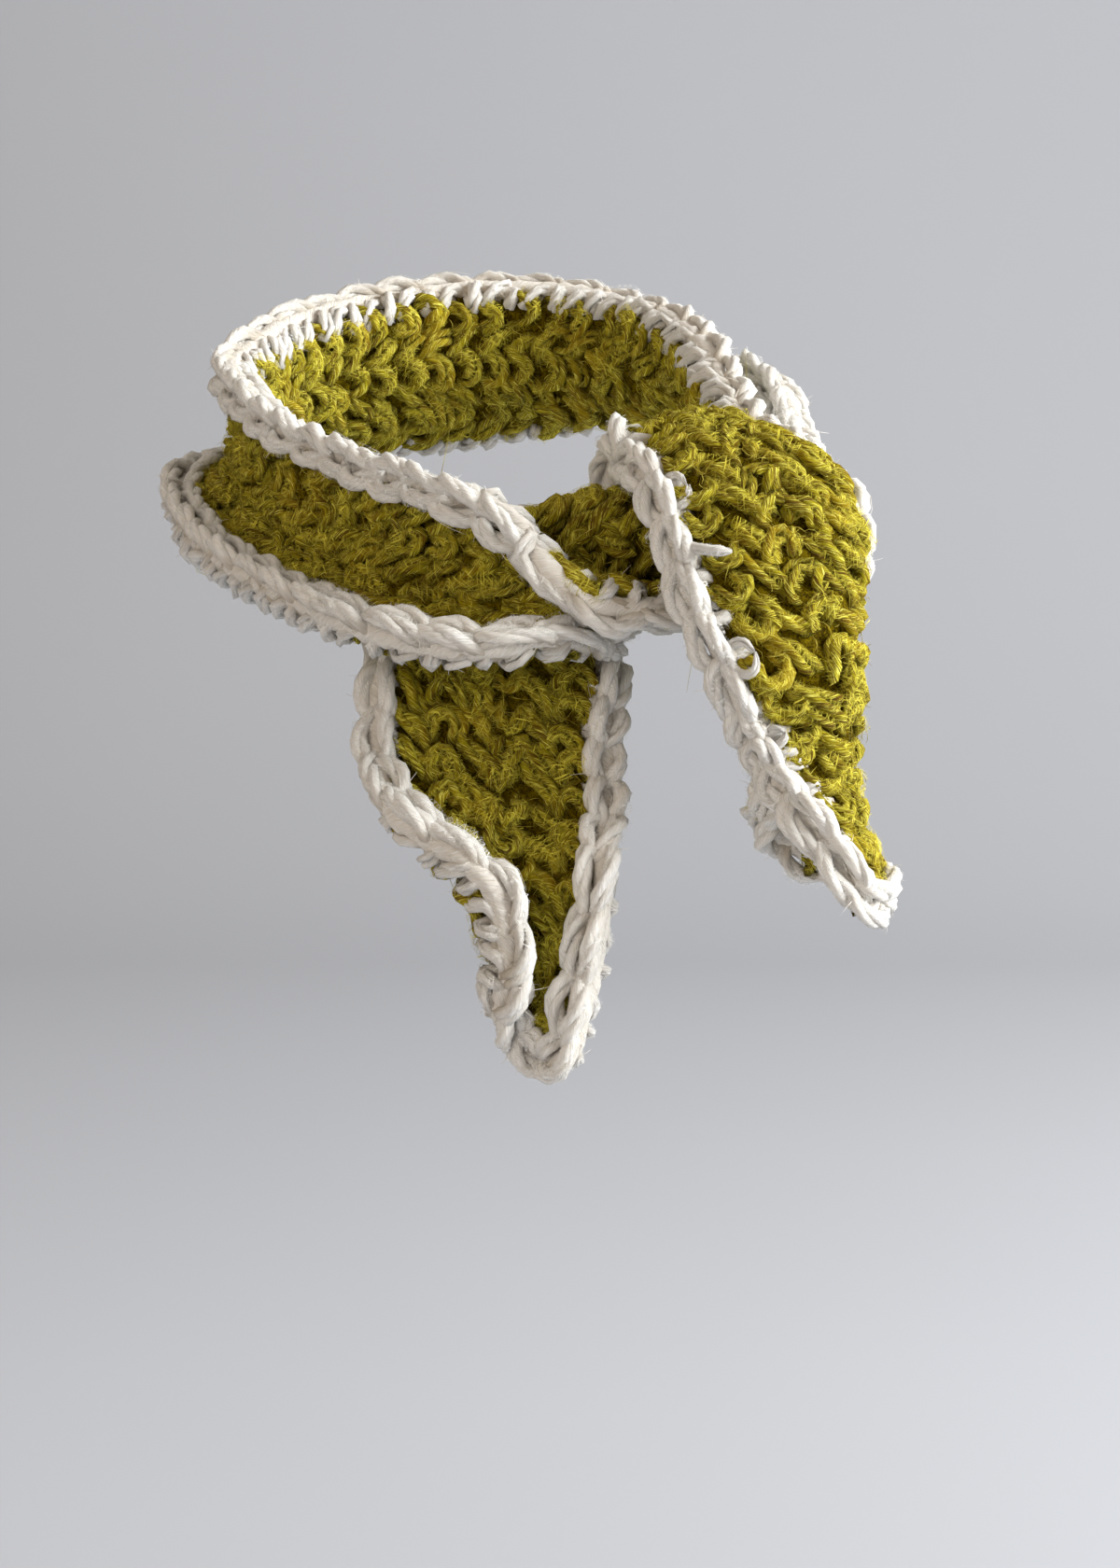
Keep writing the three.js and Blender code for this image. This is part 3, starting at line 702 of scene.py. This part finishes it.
# Chain on the rim: its y and z axes are the outward and lift directions turned by the tilt. Its yarn and
# fluff get painted shade where they lie low along the face direction.
def chainTubes():
    local, normals = stitchRun(chainStitch, edgeCount, edging["samples"], edging["wobble"])
    tilt = math.radians(edging["tilt"])
    sin, cos = math.sin(tilt), math.cos(tilt)
    out = edging["chainOut"] + local[:, 1] * cos + local[:, 2] * sin
    lift = edging["chainLift"] - local[:, 1] * sin + local[:, 2] * cos
    place, travel, outward, normal = onRim(local[:, 0] * edgeStitch, out, lift)
    face, crosswise = outward * sin + normal * cos, outward * cos - normal * sin
    turned = turnInto(normals, travel, crosswise, face)
    tubes = spin(place, turned, edging["size"], whiteYarn, whiteFluff)
    base = place - face * local[:, 2:]
    for tube in tubes:
        openByLift(tube, edging["chainOpen"], base, face, False)
    openByLift(whiteFluff[-1], edging["chainFluffOpen"], base[::2], face[::2], False)
    return tubes


# Posts: the post table's y shrinks in front of the cloth to the front reach, except along the right tail's
# inner border, where each post comes out by its own random share. Their yarn gets painted shade near the
# cloth.
def postTubes():
    local, normals = stitchRun(postWrap, edgeCount, edging["postSamples"], edging["wobble"])
    distance = local[:, 0] * edgeStitch
    shown = smoothStep(edging["postsShownFrom"] - edging["postsFadeIn"], edging["postsShownFrom"], distance)
    uneven = random.uniform(0.0, 1.0, edgeCount + 1)[np.clip(local[:, 0], 0, edgeCount).astype(int)]
    shown = shown * (distance < stripLength + edging["postsShownPast"]) * uneven
    frontReach = edging["frontReach"] + (1 - edging["frontReach"]) * shown
    reach = np.where(local[:, 2] > edging["backFrom"], frontReach, 1)
    place, travel, outward, normal = onRim(distance, local[:, 1] * reach, local[:, 2])
    turned = turnInto(normals, travel, outward, normal)
    tubes = spin(place, turned, edging["postSize"], postYarn, whiteFluff)
    for tube in tubes:
        openByLift(tube, edging["postOpen"], place - normal * local[:, 2:], normal)
    openEvenly(whiteFluff[-1], 1)
    return tubes


# Filling: one soft strand round the rim, inside the chain, its out and lift moved by slow waves. Its even
# openness below one gives it part of the darkest colour, a painted shade inside the chain.
def fillTube():
    count = edgeCount * edging["fillSamples"]
    distance = np.arange(count) / (count - 2) * outlineLength
    out, lift = (edging[key] + slowWaves(count, edging["fillWander"]) for key in ("fillOut", "fillLift"))
    place, _, _, normal = onRim(distance, out, lift)
    thick = edging["fillSize"] * (1 + slowWaves(count, edging["fillUneven"]))
    tube = tubeAlong(place, normal, thick, edging["fillSides"], 0, edging["fillRough"])
    openEvenly(tube, edging["fillOpen"])
    return tube


# Loose end and loops of the edging yarn, each a short spline through its own rows on the rim. A loop's rows
# are its centre plus (width * sin a, -reach * cos a, wave * sin (a + 1)), with a from 0 to a full turn.
def looseTubes():
    turn = np.linspace(0, 2 * np.pi, loose["loopRows"])[:, None]
    strands = [(np.array(loose["end"]), loose["endSize"])]
    for distance, out, lift, width, reach in loose["loops"]:
        wave = loose["loopWave"] * np.sin(turn + 1)
        rows = np.hstack([distance + width * np.sin(turn), out - reach * np.cos(turn), lift + wave])
        strands.append((rows, loose["loopSize"]))
    tubes = []
    for rows, size in strands:
        local = throughRows(rows, np.linspace(0, len(rows) - 1, loose["samples"]))
        place, _, _, normal = onRim(*local.T)
        tubes += spin(place, normal, size, postYarn, whiteFluff)
        openEvenly(whiteFluff[-1], 1)
    for tube in tubes:
        openEvenly(tube, 1)
    return tubes


whiteFluff = []
chain, posts = chainTubes(), postTubes()
edgingChain = makeTubePiece("edging_chain", chain, whiteFinish)
edgingPosts = makeTubePiece("edging_posts", posts + [fillTube(), *looseTubes()], whiteFinish)
print("edging made,", sum(len(tube["quads"]) for tube in chain + posts) * 2, "triangles,", edgeCount,
      "stitches")

# Fuzz: each kind of loose fibre, with its number, radius, rings and way of lying
fuzz = {
    "greenFibres": {"count": 400, "radius": 0.09}, "whiteFibres": {"count": 1200, "radius": 0.09},
    "fibreRings": 5, "fibreSteps": (1, 1, 2), "fibreTurn": 0.12, "fibreLift": (0.02, 0.12),
    "fibreEnd": 0.45, "fibresWhereOpen": 0.4,
    "greenHairs": {"count": 5200, "length": (0.9, 3.2), "rings": 4, "stand": 0.7, "radius": 0.075},
    "whiteHairs": {"count": 4600, "length": (0.9, 3.2), "rings": 4, "stand": 0.9, "radius": 0.075},
    "strays": {"count": 46, "length": (8.0, 17.0), "rings": 12, "stand": 0.25, "radius": 0.105},
    "lean": (0.3, 1.0), "scatter": 0.3, "bend": 0.4, "drop": -0.1, "bendOut": 0.1, "shorten": (0.4, 1.0),
    "root": 0.3, "hairsWhereOpen": 0.5,
    "mat": {"count": 3000, "length": (2.5, 7.0), "rings": 5, "lift": (2.6, 5.0), "radius": 0.07, "inset": 4,
            "ends": 8, "bend": 1.2, "tilt": 0.5, "arch": 2.0, "frontShare": 0.6, "sideMost": 22},
    "thinning": 0.8, "rootSlope": 4, "rootShare": 0.4,
    "greenLook": {"low": (124, 100, 6), "high": (220, 206, 92)},
    "whiteLook": {"low": (226, 218, 206), "high": (255, 253, 250)},
    "tint": {"Scale": 420.0, "Detail": 1.0}, "tintFrom": 0.3, "tintSlope": 2.5,
}


# Hair finish: a fine noise mixes the low and the high colour
def hairFinish(name, look):
    finish = Finish(name)
    share = ((finish.noise(fuzz["tint"]) - fuzz["tintFrom"]) * fuzz["tintSlope"]).clamp()
    mixed = finish.mix(share, look["low"], look["high"])
    return finish.shade({"Base Color": mixed, "Roughness": 0.8, "Specular IOR Level": 0.15})


# Closed hairs along lines of shape (hairs, rings, 3): three corners a ring, and a radius that grows from the
# root as slope * s plus a share, and shrinks as 1 - thinning * s * s
def makeHairPiece(name, line, radius, material):
    count, rings = line.shape[:2]
    along = unit(np.gradient(line, axis=1))
    sideways = unit(np.cross(along, [0.31, 0.57, 0.76]))  # few hairs lie in that direction
    up = np.cross(along, sideways)
    angle = 2 * np.pi * np.arange(3) / 3
    ring = np.cos(angle)[:, None] * sideways[:, :, None] + np.sin(angle)[:, None] * up[:, :, None]
    s = np.linspace(0, 1, rings)
    root = np.clip(s * fuzz["rootSlope"] + fuzz["rootShare"], 0, 1)
    thick = radius * (1 - fuzz["thinning"] * s ** 2) * root
    vertices = (line[:, :, None] + thick[None, :, None, None] * ring).reshape(-1, 3)
    perHair = rings * 3
    starts = np.arange(count)[:, None, None] * perHair
    quads = (ringFaces(rings, 3)[2].reshape(-1, 4) + starts).reshape(-1, 4)
    ends = (np.array([[2, 1, 0], [perHair - 3, perHair - 2, perHair - 1]]) + starts).reshape(-1, 3)
    return makePiece(name, vertices, [quads, ends], None, material)


# Fibres: path + (radius + lift) * (cos a * normal + sin a * across). a turns with the plies, and the lift
# grows with the fourth power of the way along, so that a fibre leaves the yarn at its end only.
def fibreLines(tubes, count, look):
    lines = []
    shares = np.array([len(tube["path"]) for tube in tubes], float)
    for tube, share in zip(tubes, shares / shares.sum()):
        number, rings, last = int(count * share), fuzz["fibreRings"], len(tube["path"]) - 1
        chosen = random.choice(np.flatnonzero(tube["open"] > fuzz["fibresWhereOpen"]), number)
        step = random.choice([-1, 1], number) * random.choice(fuzz["fibreSteps"], number)
        index = np.clip((chosen // tube["sides"])[:, None] + step[:, None] * np.arange(rings), 0, last)
        path = tube["path"][index]
        moved = np.linalg.norm(path - path[:, :1], axis=-1) * np.sign(step)[:, None]
        angle = 2 * np.pi * (chosen % tube["sides"])[:, None] / tube["sides"] - look["twist"] * moved
        angle = angle + random.normal(size=(number, 1)) * fuzz["fibreTurn"] * np.arange(rings)
        s = np.linspace(0, 1, rings)
        least, spread = fuzz["fibreLift"]
        lift = least + random.uniform(0, spread, (number, 1))
        lift = lift + random.gamma(1.0, fuzz["fibreEnd"], (number, 1)) * s ** 4
        out = (tube["radius"][index] + lift)[..., None]
        cos, sin = np.cos(angle)[..., None], np.sin(angle)[..., None]
        lines.append(path + out * (cos * tube["normal"][index] + sin * tube["across"][index]))
    return np.concatenate(lines)


# Hairs: base + length * (s * direction + s * s * bend). The direction is stand * normal, plus or minus a
# random share of the tangent, plus some scatter.
def hairLines(tubes, kind):
    points, normals, tangents, openness = (
        np.concatenate([tube[key] for tube in tubes]) for key in ("points", "normals", "tangents", "open"))
    count = kind["count"]
    chosen = random.choice(np.flatnonzero(openness > fuzz["hairsWhereOpen"]), count)
    sign = random.choice([-1.0, 1.0], (count, 1))
    along = sign * tangents[chosen] * random.uniform(*fuzz["lean"], (count, 1))
    scatter = random.normal(size=(count, 3)) * fuzz["scatter"]
    direction = unit(kind["stand"] * normals[chosen] + along + scatter)
    bend = random.normal(size=(count, 3)) * fuzz["bend"]
    bend = bend + [0, 0, fuzz["drop"]] + fuzz["bendOut"] * normals[chosen]
    size = random.uniform(*kind["length"], (count, 1, 1)) * random.uniform(*fuzz["shorten"], (count, 1, 1))
    s = np.linspace(0, 1, kind["rings"])[None, :, None]
    base = points[chosen] - fuzz["root"] * normals[chosen]
    return base[:, None] + size * (s * direction[:, None] + s * s * bend[:, None])


# Mat: hairs that lie over the stitches. Run and side go along a short curve of random heading, and the lift
# is a random height plus tilt * s minus arch * s * s, with s from -0.5 to 0.5
def matLines():
    mat = fuzz["mat"]
    count = mat["count"]
    run = random.uniform(mat["ends"], stripLength - mat["ends"], (count, 1))
    top, bottom = panelSides(run[:, 0], mat["inset"])
    side = (bottom + (top - bottom) * random.uniform(0, 1, count))[:, None]
    heading = random.uniform(0, 2 * np.pi, (count, 1))
    s = np.linspace(-0.5, 0.5, mat["rings"])
    length = random.uniform(*mat["length"], (count, 1))
    heading = heading + random.normal(size=(count, 1)) * mat["bend"] * s
    run, side = run + length * s * np.cos(heading), side + length * s * np.sin(heading)
    lift = random.uniform(*mat["lift"], (count, 1))
    lift = lift + random.normal(size=(count, 1)) * mat["tilt"] * s - mat["arch"] * s ** 2
    face = np.where(random.uniform(size=(count, 1)) < mat["frontShare"], 1, -1)
    return onStrip(run, np.clip(side, -mat["sideMost"], mat["sideMost"]), lift * face)[0]


# Fluff, fibres and hairs of one yarn
def makeFuzz(colour, tubes, fluffTubes, look, hair):
    fibres, hairs = fuzz[colour + "Fibres"], fuzz[colour + "Hairs"]
    return [
        makeTubePiece(colour + "_fluff", fluffTubes, fluffFinish(colour + "_fluff", fluff[colour])),
        makeHairPiece(colour + "_fibres", fibreLines(tubes, fibres["count"], look), fibres["radius"], hair),
        makeHairPiece(colour + "_hairs", hairLines(tubes, hairs), hairs["radius"], hair),
    ]


greenHair = hairFinish("green_hair", fuzz["greenLook"])
whiteHair = hairFinish("white_hair", fuzz["whiteLook"])
greenFuzz = makeFuzz("green", greenTubes, greenFluff, greenYarn, greenHair) + [
    makeHairPiece("green_mat", matLines(), fuzz["mat"]["radius"], greenHair),
    makeHairPiece("green_strays", hairLines(greenTubes, fuzz["strays"]), fuzz["strays"]["radius"], greenHair),
]
whiteFuzz = makeFuzz("white", chain + posts, whiteFluff, whiteYarn, whiteHair)
print("fuzz made,", sum(len(piece.data.polygons) for piece in greenFuzz + whiteFuzz) * 2, "triangles at most")

# Every piece rides on the root, and the CAD green_panel and white_edging are hidden
greenSide = [coreSheet, *greenFuzz, *greenPieces]
whiteSide = [edgingChain, edgingPosts, *whiteFuzz]
for piece in greenSide + whiteSide:
    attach(piece, "root")
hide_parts("green_panel")
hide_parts("white_edging")
flat = outlineFlat[:-1]
flatArea = abs((flat[:, 0] * np.roll(flat[:, 1], -1) - flat[:, 1] * np.roll(flat[:, 0], -1)).sum()) / 2
stripLength * metre
flatArea * metre ** 2

# Studio: pale floor that sweeps up behind, soft light, and the camera of the photograph
studio = {
    "floor": -0.262, "front": -3.0, "wall": 1.6, "height": 3.5, "halfWidth": 4.0, "sweep": 0.7,
    "sweepSteps": 16, "colour": (179, 182, 189), "lighter": 3, "grain": {"Scale": 3.0, "Detail": 2.0},
    "world": 0.32, "worldColour": (1.0, 0.86, 0.70),
    "target": (0.0169, -0.0075, -0.0714), "distance": 0.69, "down": 6.0, "lens": 70.0,
}
lights = {
    "key": {"place": (1.4, -0.3, 0.5), "size": 0.9, "power": 54.0, "colour": (0.98, 1.0, 1.0)},
    "fill": {"place": (-0.7, -1.2, 0.3), "size": 1.2, "power": 7.5, "colour": (1.0, 0.88, 0.76)},
    "top": {"place": (0.1, 0.3, 1.3), "size": 1.2, "power": 2.5, "colour": (1.0, 1.0, 1.0)},
}


# Floor and wall in one sheet: level, then a quarter circle of sin and 1 - cos times the sweep, then upright
def makeFloor():
    turn = np.linspace(0, math.pi / 2, studio["sweepSteps"])
    wall, sweep, halfWidth = studio["wall"], studio["sweep"], studio["halfWidth"]
    y = np.concatenate([[studio["front"]], wall - sweep + sweep * np.sin(turn), [wall]])
    z = np.concatenate([[0], sweep * (1 - np.cos(turn)), [studio["height"]]]) + studio["floor"]
    points = np.concatenate([np.stack([np.full_like(y, x), y, z], 1) for x in (-halfWidth, halfWidth)])
    a, count = np.arange(len(y) - 1), len(y)
    faces = np.stack([a, a + count, a + count + 1, a + 1], 1)
    finish = Finish("floor_paper")
    lighter = tuple(channel + studio["lighter"] for channel in studio["colour"])
    paper = finish.mix(finish.noise(studio["grain"]), studio["colour"], lighter)
    material = finish.shade({"Base Color": paper, "Roughness": 0.9})
    return makePiece("floor", points / metre, [faces], None, material)


makeFloor()
for name, light in lights.items():
    data = bpy.data.lights.new(name, "AREA")
    data.size, data.energy, data.color = light["size"], light["power"], light["colour"]
    lamp = bpy.data.objects.new(name, data)
    lamp.location = light["place"]
    x, y, z = np.array(studio["target"]) - np.array(light["place"])  # it shines along its own -Z
    lamp.rotation_euler = (math.atan2(math.hypot(x, y), -z), 0, math.atan2(y, x) - math.pi / 2)
    scene.collection.objects.link(lamp)
world = bpy.data.worlds.new("studio")
world.use_nodes = True
background = world.node_tree.nodes["Background"]
background.inputs["Color"].default_value = (*studio["worldColour"], 1)
background.inputs["Strength"].default_value = studio["world"]
scene.world = world
scene.view_settings.view_transform = "Standard"

camera = bpy.data.objects.new("camera", bpy.data.cameras.new("camera"))
down = math.radians(studio["down"])
camera.data.lens = studio["lens"]
back = studio["distance"] * np.array([0, math.cos(down), -math.sin(down)])
camera.location = np.array(studio["target"]) - back
camera.rotation_euler = (math.pi / 2 - down, 0, 0)
scene.collection.objects.link(camera)
scene.camera = camera
